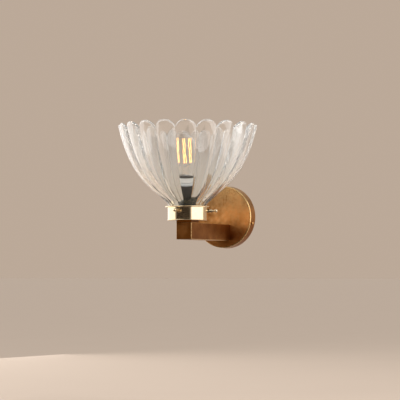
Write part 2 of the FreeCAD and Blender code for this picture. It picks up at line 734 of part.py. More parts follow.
def shade_column(points, lengths, spread):
    """One line of points from the foot, up the outside, over the lip and down the inside of a flute."""
    quarter = math.pi * spread / 2
    angle = math.pi / FLUTES * (COLUMN_EVEN_SHARE * spread + (1 - COLUMN_EVEN_SHARE) * math.sin(quarter))
    radii = [point[0] for point in points]
    heights = [point[1] for point in points]
    top = between(RIM_Z - RIM_ARCH * (1 - math.cos(quarter)), heights, lengths)
    outside = []
    inside = []
    for k in range(WALL_ROWS + 1):
        here = top * k / WALL_ROWS
        low = max(here - LEAN_STEP, 0)
        rise_r = between(here + LEAN_STEP, lengths, radii) - between(low, lengths, radii)
        rise_z = between(here + LEAN_STEP, lengths, heights) - between(low, lengths, heights)
        size = math.hypot(rise_r, rise_z)
        r, z = between(here, lengths, radii), between(here, lengths, heights)
        growth = max((r - NECK_R) / (RIM_R - NECK_R), 0) ** FLUTE_GROWTH
        inner_r = r - GLASS_T * rise_z / size
        inner_z = z + GLASS_T * rise_r / size
        outside.append((lobed_radius(r, FLUTE_OUT * growth, angle), z))
        inside.append((lobed_radius(inner_r, FLUTE_IN * growth, angle), inner_z))
    lean = (rise_r / size, rise_z / size)
    a, b = outside[-1], inside[-1]
    middle = ((a[0] + b[0]) / 2, (a[1] + b[1]) / 2)
    half = ((a[0] - b[0]) / 2, (a[1] - b[1]) / 2)
    lip_r = math.hypot(half[0], half[1])
    lip = []
    for k in range(1, LIP_ROWS):
        turn = math.pi * k / LIP_ROWS
        lip.append((middle[0] + half[0] * math.cos(turn) + lean[0] * lip_r * math.sin(turn),
                    middle[1] + half[1] * math.cos(turn) + lean[1] * lip_r * math.sin(turn)))
    line = outside + lip + inside[::-1]
    return [Vector(r * math.sin(angle), -r * math.cos(angle), z) for r, z in line]


def flute_faces():
    """One flute's skin: a smooth surface through its columns, parted into outside, lip and inside."""
    points = shade_profile()
    lengths = walk(points)
    surface = Part.BSplineSurface()
    surface.interpolate([shade_column(points, lengths, k / HALF_COLUMNS)
                         for k in range(-HALF_COLUMNS, HALF_COLUMNS + 1)])
    rows = surface.getVKnots()
    bands = []
    for first, last in ((0, WALL_ROWS), (WALL_ROWS, WALL_ROWS + LIP_ROWS), (WALL_ROWS + LIP_ROWS, -1)):
        band = surface.copy()
        band.segment(0, 1, rows[first], rows[last])
        bands.append(band.toShape())
    return bands


def foot_face(faces):
    """The flat ring under the neck, bounded by the lowest edges of the outside and of the inside."""
    rings = [[], []]
    for edge in [edge for face in faces for edge in face.Edges]:
        if edge.BoundBox.ZMax - SHADE_FOOT_Z < FLAT_ENOUGH:
            at = edge.firstVertex().Point
            rings[math.hypot(at.x, at.y) < NECK_R - GLASS_T / 2].append(edge)
    wires = [Part.Wire(Part.__sortEdges__(ring)) for ring in rings]
    return Part.makeFace(wires, "Part::FaceMakerBullseye")


def shade():
    faces = []
    for band in flute_faces():
        for k in range(FLUTES):
            copy = band.copy()
            copy.rotate(Vector(0, 0, 0), UP, SHADE_TURN + 360 * k / FLUTES)
            faces.append(copy)
    faces.append(foot_face(faces))
    shell = Part.makeShell(faces)
    shell.sewShape()
    return on_lamp_axis(Part.makeSolid(shell))


# ---- Lampholder ----
def lampholder_base():
    """The lower moulding, screwed on the stem, hollow for the wire ends."""
    hole = STEM_R + THREAD_GAP
    inner = HOLDER_BASE_R - HOLDER_WALL
    return on_lamp_axis(turned([
        (hole, HOLDER_Z), (HOLDER_BASE_R, HOLDER_Z), (HOLDER_WAIST_R, HOLDER_WAIST_Z),
        (inner, HOLDER_WAIST_Z), (inner, HOLDER_Z + HOLDER_FLOOR), (hole, HOLDER_Z + HOLDER_FLOOR)]))


def lampholder_skirt():
    mouth = SHELL_R + CORE_GAP
    under_lip = HOLDER_TOP_Z - HOLDER_LIP
    soft = HOLDER_LIP / 2
    return on_lamp_axis(turned([
        (HOLDER_BORE_R, HOLDER_WAIST_Z), (HOLDER_WAIST_R, HOLDER_WAIST_Z),
        (HOLDER_TOP_R, HOLDER_TOP_Z - soft), (HOLDER_TOP_R - soft, HOLDER_TOP_Z), (mouth, HOLDER_TOP_Z),
        (mouth, under_lip), (HOLDER_BORE_R, under_lip)]))


def terminal_pockets(gap):
    half = HOLDER_TERMINAL / 2 + gap
    top = HOLDER_WAIST_Z + CORE_FLOOR - OVERRUN
    middles = (-HOLDER_TERMINAL_X, HOLDER_TERMINAL_X)
    return [on_lamp_axis(block((x - half, x + half), (-half, half), (top - HOLDER_TERMINAL_L, top)))
            for x in middles]


def lampholder_core():
    """The insulating core: a thick floor with pockets for the terminals and a bore for the lamp."""
    outer = HOLDER_BORE_R - CORE_GAP
    bore = SHELL_R + SHELL_T + CORE_GAP
    top = HOLDER_TOP_Z - HOLDER_LIP - CORE_GAP
    floor = HOLDER_WAIST_Z + CORE_FLOOR
    body = on_lamp_axis(turned([
        (0, HOLDER_WAIST_Z), (outer, HOLDER_WAIST_Z), (outer, top), (bore, top), (bore, floor), (0, floor)]))
    return body.cut(terminal_pockets(CORE_GAP))


def holder_terminals():
    return Part.makeCompound(terminal_pockets(0))


def thread_shell():
    top = HOLDER_TOP_Z - HOLDER_LIP - SHELL_TOP_GAP
    return washer(SHELL_R + SHELL_T, SHELL_R, SHELL_H, top - SHELL_H)


def centre_contact():
    """A bent spring tongue on the core's floor, just below the lamp's tip."""
    half = CONTACT_W / 2
    floor = HOLDER_WAIST_Z + CORE_FLOOR
    top = LAMP_TIP_Z - CONTACT_GAP
    foot = block((-half, SHELL_R - OVERRUN), (-half, half), (floor, floor + CONTACT_T))
    rise = block((-half, -half + CONTACT_T), (-half, half), (floor, top))
    pad = block((-half, half), (-half, half), (top - CONTACT_T, top))
    return on_lamp_axis(foot.fuse([rise, pad]).removeSplitter())


# ---- Lamp ----
def bulb_cap():
    """The screw cap: a thin shell with rounded thread ridges below a plain band."""
    root = CAP_R - CAP_THREAD_DEPTH
    outline = [(root, CAP_Z)]
    for k in range(CAP_THREADS):
        low = CAP_Z + CAP_THREAD_PITCH * k
        outline.append((root, low))
        outline.append((CAP_R, low + CAP_THREAD_PITCH / 2, root, low + CAP_THREAD_PITCH))
    band_z = CAP_Z + CAP_THREAD_PITCH * CAP_THREADS
    shoulder_z = band_z + CAP_SHOULDER
    band_r = GLASS_NECK_R + CAP_WALL
    outline += [(root, band_z), (band_r, shoulder_z), (band_r, GLASS_Z), (GLASS_NECK_R, GLASS_Z),
                (GLASS_NECK_R, shoulder_z), (root - CAP_WALL, band_z), (root - CAP_WALL, CAP_Z)]
    return on_lamp_axis(turned(outline))


def bulb_insulator():
    low = CAP_Z - INSULATOR_H
    return on_lamp_axis(turned([(0, low), (TIP_CONTACT_R, low), (INSULATOR_R, CAP_Z), (0, CAP_Z)]))


def bulb_tip():
    high = CAP_Z - INSULATOR_H
    low = LAMP_TIP_Z
    crown_r = TIP_CONTACT_R * TIP_CROWN_R_SHARE
    crown_z = low + TIP_CONTACT_H * TIP_CROWN_H_SHARE
    return on_lamp_axis(turned([(0, low), (crown_r, crown_z, TIP_CONTACT_R, high), (0, high)]))


def bulb_collar():
    return washer(COLLAR_RING_R, GLASS_NECK_R + BRAZE_GAP, COLLAR_RING_H, GLASS_Z)


def bezier(*poles):
    curve = Part.BezierCurve()
    curve.setPoles([flat(pole) for pole in poles])
    return curve.toShape()


def candle_side(inset):
    """Edges up a candle bulb's side, from its neck to the axis, drawn in by the glass's thickness."""
    neck = GLASS_NECK_R - BRAZE_GAP - inset
    belly = GLASS_BELLY_R - inset
    collar_z = GLASS_Z + COLLAR_RING_H
    belly_z = GLASS_Z + GLASS_BELLY_UP
    tip_z = GLASS_Z + GLASS_H - inset
    shoulder_z = tip_z - GLASS_TIP_R
    lean = math.radians(GLASS_TAPER)
    full = GLASS_TIP_R * GLASS_TIP_FULLNESS
    return [
        Part.makeLine(flat((neck, GLASS_Z - GLASS_TUCK)), flat((neck, collar_z))),
        bezier((neck, collar_z), (neck, collar_z + GLASS_NECK_PULL), (belly, belly_z - GLASS_BELLY_PULL),
               (belly, belly_z)),
        bezier((belly, belly_z), (belly, belly_z + GLASS_BELLY_PULL),
               (GLASS_TIP_R + GLASS_TIP_PULL * math.sin(lean), shoulder_z - GLASS_TIP_PULL * math.cos(lean)),
               (GLASS_TIP_R, shoulder_z)),
        bezier((GLASS_TIP_R, shoulder_z), (GLASS_TIP_R, shoulder_z + full), (full, tip_z), (0, tip_z))]


def bulb_glass():
    outer = candle_side(0)
    inner = candle_side(GLASS_WALL)
    mouths = [side[0].firstVertex().Point for side in (outer, inner)]
    tips = [side[-1].lastVertex().Point for side in (outer, inner)]
    edges = outer + inner + [Part.makeLine(*mouths), Part.makeLine(*tips)]
    wall = Part.Face(Part.Wire(Part.__sortEdges__(edges)))
    return on_lamp_axis(wall.revolve(Vector(0, 0, 0), UP, 360))


def bulb_stem():
    """The glass stem: a flare in the lamp's neck and a rod that carries the filaments."""
    low = GLASS_Z - GLASS_TUCK
    flare = GLASS_NECK_R - GLASS_WALL - 2 * BRAZE_GAP
    return on_lamp_axis(turned([
        (0, low), (flare, low), (flare * PINCH_R_SHARE, low + PINCH_H),
        (PINCH_ROD_R, low + PINCH_H + PINCH_SHOULDER),
        (PINCH_ROD_R, low + PINCH_H + PINCH_ROD_H), (0, low + PINCH_H + PINCH_ROD_H)]))


def filament_places():
    places = []
    for k in range(FILAMENTS):
        angle = math.radians(FILAMENT_TURN + 360 * k / FILAMENTS)
        places.append(Vector(math.cos(angle), math.sin(angle), 0) * FILAMENT_RING_R)
    return places


def bulb_filaments():
    low = GLASS_Z + FILAMENT_UP
    return Part.makeCompound([rod(FILAMENT_R, place + LAMP_AXIS + UP * low, UP, FILAMENT_L)
                              for place in filament_places()])


def bulb_leads():
    """The support wires: spokes from the stem to each filament's foot, and a hoop over their tops."""
    low = GLASS_Z + FILAMENT_UP
    high = low + FILAMENT_L
    spoke_z = GLASS_Z - GLASS_TUCK + PINCH_H + PINCH_ROD_H - OVERRUN
    leads = []
    for place in filament_places():
        out = Vector(place).normalize()
        start = out * (PINCH_ROD_R + LEAD_R) + UP * spoke_z
        knee = place + UP * (low - LEAD_R - BRAZE_GAP)
        leads.append(rod(LEAD_R, start, knee - start, (knee - start).Length))
    hoop = Part.makeTorus(FILAMENT_RING_R, LEAD_R, UP * (high + LEAD_R), UP)
    return on_lamp_axis(Part.makeCompound(leads + [hoop]))


# ---- The finished set of pieces ----
def pieces():
    made = {
        "wall_bracket": wall_bracket(),
        "wall_plate": wall_plate(),
        "side_screws": side_screws(),
        "terminal_block": terminal_block(),
        "terminal_tubes": terminal_tubes(),
        "terminal_screws": terminal_screws(),
        "block_screws": block_screws(),
        "earth_eyelet": earth_eyelet(),
        "earth_screw": earth_screw(),
        "earth_wire": earth_wire(),
        "live_wire": lamp_wire("live_wire", 2, 1),
        "neutral_wire": lamp_wire("neutral_wire", 1, -1),
        "plate_bush": plate_bush(),
        "arm_screws": arm_screws(),
        "arm_foot": arm_foot(),
        "arm_tube": arm_tube(),
        "arm_end_cap": arm_end_cap(),
        "arm_washer": arm_washer(),
        "arm_nut": arm_nut(),
        "gallery_stem": gallery_stem(),
        "gallery_spacer": gallery_spacer(),
        "gallery_cup": gallery_cup(),
        "gallery_nut": gallery_nut(),
        "gallery_bosses": gallery_bosses(),
        "seat_ring": seat_ring(),
        "shade": shade(),
        "lampholder_base": lampholder_base(),
        "lampholder_skirt": lampholder_skirt(),
        "lampholder_core": lampholder_core(),
        "holder_terminals": holder_terminals(),
        "thread_shell": thread_shell(),
        "centre_contact": centre_contact(),
        "bulb_cap": bulb_cap(),
        "bulb_insulator": bulb_insulator(),
        "bulb_tip": bulb_tip(),
        "bulb_collar": bulb_collar(),
        "bulb_glass": bulb_glass(),
        "bulb_stem": bulb_stem(),
        "bulb_filaments": bulb_filaments(),
        "bulb_leads": bulb_leads(),
    }
    for side in THUMB_SIDES:
        made["thumbscrew_" + side] = thumbscrew(side)
        made["screw_tip_" + side] = thumbscrew_tip(side)
    return made


os.makedirs("parts", exist_ok=True)
for node, shape in pieces().items():
    if not shape.isValid():
        print("not valid:", node)
    shape.exportStep("parts/" + node + ".step")
    print(node, len(shape.Solids), "solids", round(shape.Volume / 1000, 3), "cm3")
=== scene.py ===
import json
import math
import bmesh
import bpy
import numpy
from mathutils import Matrix, Vector

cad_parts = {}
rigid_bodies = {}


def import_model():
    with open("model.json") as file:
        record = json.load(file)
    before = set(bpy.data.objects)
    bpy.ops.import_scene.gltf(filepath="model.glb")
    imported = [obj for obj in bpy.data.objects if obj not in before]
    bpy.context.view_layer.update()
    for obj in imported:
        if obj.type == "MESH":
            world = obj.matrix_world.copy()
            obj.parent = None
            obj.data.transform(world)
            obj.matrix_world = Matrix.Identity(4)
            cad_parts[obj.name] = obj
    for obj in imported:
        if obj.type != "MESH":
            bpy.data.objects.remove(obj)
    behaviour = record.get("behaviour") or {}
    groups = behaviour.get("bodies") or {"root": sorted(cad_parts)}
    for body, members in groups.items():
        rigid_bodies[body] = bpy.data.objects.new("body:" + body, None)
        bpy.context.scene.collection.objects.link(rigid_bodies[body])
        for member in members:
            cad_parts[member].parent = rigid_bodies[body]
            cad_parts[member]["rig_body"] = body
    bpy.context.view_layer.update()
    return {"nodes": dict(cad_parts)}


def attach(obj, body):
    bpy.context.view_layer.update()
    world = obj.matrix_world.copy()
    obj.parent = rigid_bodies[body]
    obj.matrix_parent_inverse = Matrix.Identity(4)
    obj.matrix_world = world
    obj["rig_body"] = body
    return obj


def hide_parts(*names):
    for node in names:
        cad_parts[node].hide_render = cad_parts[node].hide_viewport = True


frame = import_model()


# ---- Wall bracket ----
# A pressed steel disc with two slots for the wall screws, a hole for the supply cable and two bent ears.
# Zinc plated after pressing, so its faces carry a fine cloudy grain. It is screwed to the wall.
ZINC_GREY = (0.42, 0.44, 0.47)
ZINC_BRIGHT = (0.66, 0.67, 0.69)
WELD = 1e-6
METAL_CREASE = math.radians(35)


class Socket:
    """An output in a material's tree. Sums and products of it add Math nodes, and node() adds any other."""

    # The Mix node repeats its sockets' names, so those for colours go by number.
    MIX_SHARE, MIX_LOW, MIX_HIGH, MIX_COLOUR = 0, 6, 7, 2

    def __init__(self, tree, out=None):
        self.tree = tree
        self.out = out

    def node(self, kind, settings, inputs, output=0):
        made = self.tree.nodes.new(kind)
        for key, value in settings.items():
            if key == "stops":
                for _ in range(len(value) - 2):
                    made.color_ramp.elements.new(0.5)
                for stop, (place, colour) in zip(made.color_ramp.elements, value):
                    stop.position = place
                    stop.color = (*colour, 1)
            else:
                setattr(made, key, value)
        for key, value in inputs.items():
            if isinstance(value, Socket):
                self.tree.links.new(value.out, made.inputs[key])
            else:
                made.inputs[key].default_value = value
        return Socket(self.tree, made.outputs[output])

    def maths(self, operation, *others):
        return self.node("ShaderNodeMath", {"operation": operation}, dict(enumerate((self, *others))))

    def __add__(self, other):
        return self.maths("ADD", other)

    def __sub__(self, other):
        return self.maths("SUBTRACT", other)

    def __rsub__(self, other):
        return self.node("ShaderNodeMath", {"operation": "SUBTRACT"}, {0: other, 1: self})

    def __mul__(self, other):
        return self.maths("MULTIPLY", other)

    __radd__ = __add__
    __rmul__ = __mul__

    def over(self, low, high):
        """0 below low and 1 above high, with a straight rise between."""
        return self.node("ShaderNodeMapRange", {}, {"Value": self, "From Min": low, "From Max": high})

    def noise(self, place, scale, detail=3.0):
        return self.node("ShaderNodeTexNoise", {}, {"Vector": place, "Scale": scale, "Detail": detail})

    def tint(self, share, low, high):
        """From colour low to colour high by the share."""
        low, high = (end if isinstance(end, Socket) else (*end, 1) for end in (low, high))
        return self.node("ShaderNodeMix", {"data_type": "RGBA"},
                         {self.MIX_SHARE: share, self.MIX_LOW: low, self.MIX_HIGH: high}, self.MIX_COLOUR)

    def bump(self, height, distance):
        return self.node("ShaderNodeBump", {}, {"Height": height, "Distance": distance})


class Finish:
    """A material: fixed values go on its shader's own sockets, and what varies is linked to them."""

    def __init__(self, name, **values):
        self.material = bpy.data.materials.new(name)
        self.material.use_nodes = True
        tree = self.material.node_tree
        self.shader = tree.nodes["Principled BSDF"]
        self.nodes = Socket(tree)
        self.place = self.nodes.node("ShaderNodeTexCoord", {}, {}, "Object")
        self.set(**values)

    def set(self, **values):
        for key, value in values.items():
            socket = self.shader.inputs[key.replace("_", " ")]
            if isinstance(value, Socket):
                self.nodes.tree.links.new(value.out, socket)
            else:
                socket.default_value = (*value, 1) if isinstance(value, tuple) else value

    def noise(self, scale, detail=3.0):
        return self.nodes.noise(self.place, scale, detail)

    def tint(self, share, low, high):
        return self.nodes.tint(share, low, high)

    def mottle(self, scale, low, high, detail=3.0):
        """Let the colour wander between two shades, and give the pattern that it follows."""
        spots = self.noise(scale, detail)
        self.set(Base_Color=self.tint(spots, low, high))
        return spots

    def grain(self, height, distance):
        self.set(Normal=self.nodes.bump(height, distance))

    def axes(self):
        parts = self.nodes.node("ShaderNodeSeparateXYZ", {}, {"Vector": self.place}).out.node.outputs
        return [Socket(self.nodes.tree, part) for part in parts]


def smooth_copy(node, finish):
    """The CAD node's own shape, with its triangles merged and its round faces shaded smooth."""
    shape = bmesh.new()
    shape.from_mesh(frame["nodes"][node].data)
    bmesh.ops.remove_doubles(shape, verts=shape.verts, dist=WELD)
    return finished(shape, node + "_skin", node, finish)


def finished(shape, name, node, finish, crease=METAL_CREASE):
    """Turn a bmesh into a piece that replaces a node and rides on that node's body."""
    for face in shape.faces:
        face.smooth = True
    for edge in shape.edges:
        edge.smooth = len(edge.link_faces) == 2 and edge.calc_face_angle(0) < crease
    mesh = bpy.data.meshes.new(name)
    shape.to_mesh(mesh)
    shape.free()
    mesh.materials.append(finish.material)
    piece = bpy.data.objects.new(name, mesh)
    bpy.context.scene.collection.objects.link(piece)
    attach(piece, frame["nodes"][node]["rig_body"])
    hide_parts(node)
    return piece


zinc = Finish("zinc_plate", Metallic=1.0)
zinc.set(Roughness=0.28 + 0.22 * zinc.mottle(420, ZINC_GREY, ZINC_BRIGHT))
zinc.grain(zinc.noise(2600), 0.00004)
smooth_copy("wall_bracket", zinc)

# ---- Wall plate ----
# A shallow dish spun from brass sheet, coloured to a copper-brown patina and rubbed back, so that the
# cloudy brown thins to gold in patches. The turned edge at the front is worn bright. Its upper part is made
# lighter with painted light, and its lower part and the wall of its rim are darkened with painted shade.
BROWN = (0.430, 0.172, 0.046)
COPPER = (0.900, 0.410, 0.130)
RUBBED = (0.900, 0.640, 0.300)
DARK_BROWN = (0.200, 0.068, 0.012)
CLOUD_SCALE = 30
CLOUD_EDGE = (0.36, 0.66)
FLECK_SCALE = 210
FLECK_DETAIL = 4.0
FLECK_EDGE = (0.42, 0.72)
FLECK_SHINE = 0.22
CLOTH_SCALE = 380
CLOTH_EDGE = (0.30, 0.55)
CLOUDS_LESS_DARKENED = 0.3
GRAIN_SCALE = 700
GRAIN_FLECKS = 0.5
TURNED_EDGE_R = (0.0478, 0.0484)
TURNED_EDGE_OUT = (0.0138, 0.0144)
PAINTED_SHADE_ENDS_Z = (-0.034, 0.004)
PAINTED_LIGHT_GROWS_Z = (0.004, 0.040)
PLATE_PAINTED_SHADE = 0.9
PLATE_PAINTED_LIGHT = 0.50


def aged(finish, wear_and_light, darkening=0.0):
    """Clouds and flecks of patina on brass. Wear rubs it bright, and on the plate's upper part that
    brightening is painted light. The darkening pulls it towards dark brown, least on the clouds, and on the
    plate and the pad it is painted shade.
    """
    clouds = finish.noise(CLOUD_SCALE).over(*CLOUD_EDGE)
    flecks = finish.noise(FLECK_SCALE, FLECK_DETAIL).over(*FLECK_EDGE)
    patina = finish.tint(clouds, BROWN, COPPER)
    patina = finish.tint(FLECK_SHINE * flecks, patina, RUBBED)
    patina = finish.tint(darkening - CLOUDS_LESS_DARKENED * clouds, patina, DARK_BROWN)
    shine = wear_and_light * finish.noise(CLOTH_SCALE).over(*CLOTH_EDGE)
    finish.set(Base_Color=finish.tint(shine, patina, RUBBED),
               Roughness=0.36 + 0.10 * flecks - 0.18 * shine)
    finish.grain(finish.noise(GRAIN_SCALE) + GRAIN_FLECKS * flecks, 0.00006)


plate_brass = Finish("plate_brass", Metallic=1.0)
x, y, z = plate_brass.axes()
rim = (x * x + z * z).maths("SQRT").over(*TURNED_EDGE_R)
front = (-1 * y).over(*TURNED_EDGE_OUT)
# The darkening towards the plate's foot and on the wall of its rim is painted shade.
painted_foot_shade = PLATE_PAINTED_SHADE - PLATE_PAINTED_SHADE * z.over(*PAINTED_SHADE_ENDS_Z)
# The brightening that grows towards the top is painted light. The bright turned edge at the front is wear.
aged(plate_brass, rim * front + PLATE_PAINTED_LIGHT * z.over(*PAINTED_LIGHT_GROWS_Z),
     painted_foot_shade.maths("MAXIMUM", rim * (1.0 - front)))
smooth_copy("wall_plate", plate_brass)

# ---- Side screws ----
# Two small slotted brass screws through the plate's rim into the bracket's ears, coloured with the plate.
# Their crowns are rubbed bright by the screwdriver and the polishing cloth.
SCREW_SHINE = 0.8
screw_brass = Finish("screw_brass", Metallic=1.0)
aged(screw_brass, wear_and_light=SCREW_SHINE)
smooth_copy("side_screws", screw_brass)

# ---- Terminal block ----
# Moulded nylon with a brass tube and two steel clamp screws for each wire, screwed to the bracket.
# The tubes are turned, as are the other plain brass parts, and the arm's own screws are of the same steel.
NYLON_SHADED = (0.70, 0.68, 0.62)
NYLON_PALE = (0.80, 0.78, 0.73)
BRASS_DULL = (0.60, 0.42, 0.19)
BRASS_BRIGHT = (0.78, 0.58, 0.30)
nylon = Finish("block_nylon", Roughness=0.42)
nylon.mottle(90, NYLON_SHADED, NYLON_PALE)
nylon.grain(nylon.noise(1800), 0.00005)
smooth_copy("terminal_block", nylon)

turned_brass = Finish("turned_brass", Metallic=1.0)
turned_brass.set(Roughness=0.26 + 0.16 * turned_brass.mottle(700, BRASS_DULL, BRASS_BRIGHT))
smooth_copy("terminal_tubes", turned_brass)
for steel_screws in ("terminal_screws", "block_screws", "arm_screws"):
    smooth_copy(steel_screws, zinc)

# ---- Earth screw and eyelet ----
# A crimped eyelet of tin-plated copper ends the earth wire. A turned brass screw clamps it flat on the
# bracket.
TIN_GREY = (0.50, 0.48, 0.45)
TIN_BRIGHT = (0.72, 0.70, 0.66)
tin = Finish("tin_plate", Metallic=1.0)
tin.mottle(500, TIN_GREY, TIN_BRIGHT)
tin.set(Roughness=0.25 + 0.2 * tin.noise(800))
smooth_copy("earth_eyelet", tin)
smooth_copy("earth_screw", turned_brass)

# ---- Wires ----
# Single insulated wires: brown and blue run from the block along the arm and up the stem to the
# lampholder, and green and yellow runs to the eyelet. The insulation is soft and satin.
STRIPE_X = (-0.0141, -0.0139)
for wire, main, other, slot in (
    ("live_wire", (0.16, 0.062, 0.025), (0.20, 0.080, 0.032), "wire_brown"),
    ("neutral_wire", (0.018, 0.090, 0.360), (0.026, 0.120, 0.430), "wire_blue"),
    ("earth_wire", (0.070, 0.300, 0.030), (0.780, 0.640, 0.030), "wire_green_yellow"),
):
    sleeve = Finish(wire + "_sleeve", Roughness=0.45)
    stripe = sleeve.axes()[0].over(*STRIPE_X) if wire == "earth_wire" else sleeve.noise(60)
    sleeve.set(Base_Color=sleeve.tint(stripe, main, other))
    sleeve.grain(sleeve.noise(900), 0.00003)
    smooth_copy(wire, sleeve)

# ---- Plate bush ----
# A flanged bush of soft black rubber, pressed into the plate's wire hole from behind. Its sleeve reaches
# into the foot block, so that no edge can cut the insulation.
BUSH_BLACK = (0.016, 0.016, 0.017)
BUSH_GREY = (0.040, 0.040, 0.042)
bush_rubber = Finish("bush_rubber", Roughness=0.7)
bush_rubber.mottle(300, BUSH_BLACK, BUSH_GREY)
bush_rubber.grain(bush_rubber.noise(1500), 0.00005)
smooth_copy("plate_bush", bush_rubber)

# ---- Arm ----
# A square brass tube brazed on a foot block that is screwed on from behind the plate. Its patina is smoked
# darker than the plate's and rubbed bright along its four edges. A bevelled cap closes its front end,
# darker still, with a little brightness left on the bevel.
ARM_MIDDLE_Z = -0.025
ARM_SMOKE = 0.92
ARM_EDGE = (0.0121, 0.0127)
CAP_SMOKE = 1.1
CAP_EDGE = (0.0123, 0.0126)
CAP_BEVEL_OUT = (0.1520, 0.1523)
CAP_SHINE = 0.55


def from_arm_middle(finish):
    """Distances from the arm's middle line, sideways and in height, and from the wall."""
    x, y, z = finish.axes()
    return x.maths("ABSOLUTE"), (z - ARM_MIDDLE_Z).maths("ABSOLUTE"), -1 * y


smooth_copy("arm_foot", turned_brass)
arm_brass = Finish("arm_brass", Metallic=1.0)
beside, above = from_arm_middle(arm_brass)[:2]
aged(arm_brass, beside.maths("MINIMUM", above).over(*ARM_EDGE), ARM_SMOKE)
smooth_copy("arm_tube", arm_brass)

cap_brass = Finish("cap_brass", Metallic=1.0)
beside, above, out = from_arm_middle(cap_brass)
bevel = beside.maths("MAXIMUM", above).over(*CAP_EDGE) * out.over(*CAP_BEVEL_OUT)
aged(cap_brass, CAP_SHINE * bevel, CAP_SMOKE)
smooth_copy("arm_end_cap", cap_brass)
smooth_copy("arm_washer", zinc)
smooth_copy("arm_nut", turned_brass)

# ---- Gallery ----
# The cup that holds the glass: spun brass, polished and lacquered to a pale gold, with a bead at its foot
# and a rounded flange at its top. It sits on a square pad, coloured almost black as painted shade under the
# cup, on a hollow stem with a nut inside the cup.
GOLD_DEEP = (0.88, 0.68, 0.42)
GOLD_PALE = (0.94, 0.77, 0.51)
PAD_PAINTED_SHADE = 1.3
gold = Finish("polished_gold", Metallic=1.0, Coat_Weight=0.3, Coat_Roughness=0.04)
gold.set(Roughness=0.09 + 0.05 * gold.mottle(160, GOLD_DEEP, GOLD_PALE, 2.0))
gold.grain(gold.noise(2200), 0.000008)
pad_brass = Finish("pad_brass", Metallic=1.0)
# The pad's near-black colour is painted shade under the cup.
aged(pad_brass, wear_and_light=0.0, darkening=PAD_PAINTED_SHADE)
smooth_copy("gallery_stem", turned_brass)
smooth_copy("gallery_spacer", pad_brass)
smooth_copy("gallery_cup", gold)
smooth_copy("gallery_nut", turned_brass)
smooth_copy("gallery_bosses", gold)

# ---- Thumbscrews ----
# Turned from brass rod: a threaded shank, a collar, a slim neck and a ball to turn it by, polished once and
# left satin by fingers. A soft nylon tip in the bored end bears on the glass.
HANDLED_DEEP = (0.92, 0.74, 0.48)
HANDLED_PALE = (0.97, 0.82, 0.58)
TIP_SHADED = (0.70, 0.70, 0.66)
TIP_PALE = (0.82, 0.82, 0.78)
handled = Finish("handled_gold", Metallic=1.0)
handled.set(Roughness=0.20 + 0.08 * handled.mottle(500, HANDLED_DEEP, HANDLED_PALE))
tip_nylon = Finish("tip_nylon", Roughness=0.4)
tip_nylon.mottle(400, TIP_SHADED, TIP_PALE)
for side in ("front", "right", "left"):
    smooth_copy("thumbscrew_" + side, handled)
    smooth_copy("screw_tip_" + side, tip_nylon)

# ---- Seat ring ----
# A flat ring of soft black rubber that lies loose on the cup's floor, and on which the shade's foot rests.
# It keeps glass off metal.
SEAT_BLACK = (0.020, 0.019, 0.018)
SEAT_GREY = (0.050, 0.048, 0.045)
seat_rubber = Finish("seat_rubber", Roughness=0.75)
seat_rubber.mottle(260, SEAT_BLACK, SEAT_GREY)
seat_rubber.grain(seat_rubber.noise(1300), 0.00006)
smooth_copy("seat_ring", seat_rubber)

# ---- Shade ----
# Pressed clear glass: a plain neck opens into a bowl of flutes that end in rounded scallops. The inside is
# nearly smooth, so each flute is a lens. The upper part has a bright clear coat. On the turned-away sides
# of the flutes, a white diffuse layer in streaks is painted sheen for reflections of the side lights. It
# stands on the seat ring, held by the thumbscrews.
FLUTES = 20
FIRST_FLUTE = math.radians(7.5)
LAMP_AXIS_Y = -0.140
NECK_R = 0.0275
FOOT_Z = -0.0063
BOWL_Z = 0.0080
NECK_PULL = 0.0225
RIM_R = 0.1068
RIM_Z = 0.136
RIM_PULL = 0.105
RIM_LEAN = math.radians(12.5)
SCALLOP = 0.010
GLASS_T = 0.0045
SWELL_OUT = 0.0045
SWELL_IN = 0.0008
SWELL_GROWTH = 0.6
EVEN_SHARE = 0.25
NECK_POINTS = 100
BOWL_POINTS = 400
SLOPE_REACH = 0.0005
ROWS = 56
LIP_ROWS = 8
HALF_FLUTE = 8
GLASS_CREASE = math.radians(80)
GREENISH = (0.976, 0.986, 0.956)
CLEAR = (0.985, 0.990, 0.985)
POLISH_GROWS_Z = (0.038, 0.088)
PRESS_WAVES = 45
PAINTED_SHEEN = 0.46
PAINTED_SHEEN_WHITE = (0.94, 0.95, 0.94, 1)
PAINTED_SHEEN_TURNED = (0.12, 0.60)
PAINTED_SHEEN_STREAKS = (0.32, 0.66)
STREAKS_ROUND = 11
STREAKS_UP = 12

share = numpy.linspace(0, 1, BOWL_POINTS)[:, None]
corners = numpy.array([(NECK_R, BOWL_Z), (NECK_R, BOWL_Z + NECK_PULL),
                       (RIM_R - RIM_PULL * math.sin(RIM_LEAN), RIM_Z - RIM_PULL * math.cos(RIM_LEAN)),
                       (RIM_R, RIM_Z)])
bowl = ((1 - share) ** 3 * corners[0] + 3 * (1 - share) ** 2 * share * corners[1]
        + 3 * (1 - share) * share ** 2 * corners[2] + share ** 3 * corners[3])
neck = numpy.linspace((NECK_R, FOOT_Z), (NECK_R, BOWL_Z), NECK_POINTS, endpoint=False)
side_line = numpy.vstack([neck, bowl])
side_length = numpy.concatenate([[0], numpy.cumsum(numpy.hypot(*numpy.diff(side_line, axis=0).T))])


def on_side(length):
    """The point (radius, height) on the shade's side line at a length from its foot."""
    return numpy.array([numpy.interp(length, side_length, side_line[:, k]) for k in (0, 1)])


def lobe(peak, depth, angle):
    """Radius at an angle from a flute's middle, one arc from valley to valley."""
    half = math.pi / FLUTES
    valley = peak - depth
    rise = peak - valley * math.cos(half)
    arc_r = ((valley * math.sin(half)) ** 2 + rise ** 2) / (2 * rise)
    middle_r = peak - arc_r
    return middle_r * math.cos(angle) + math.sqrt(arc_r ** 2 - (middle_r * math.sin(angle)) ** 2)


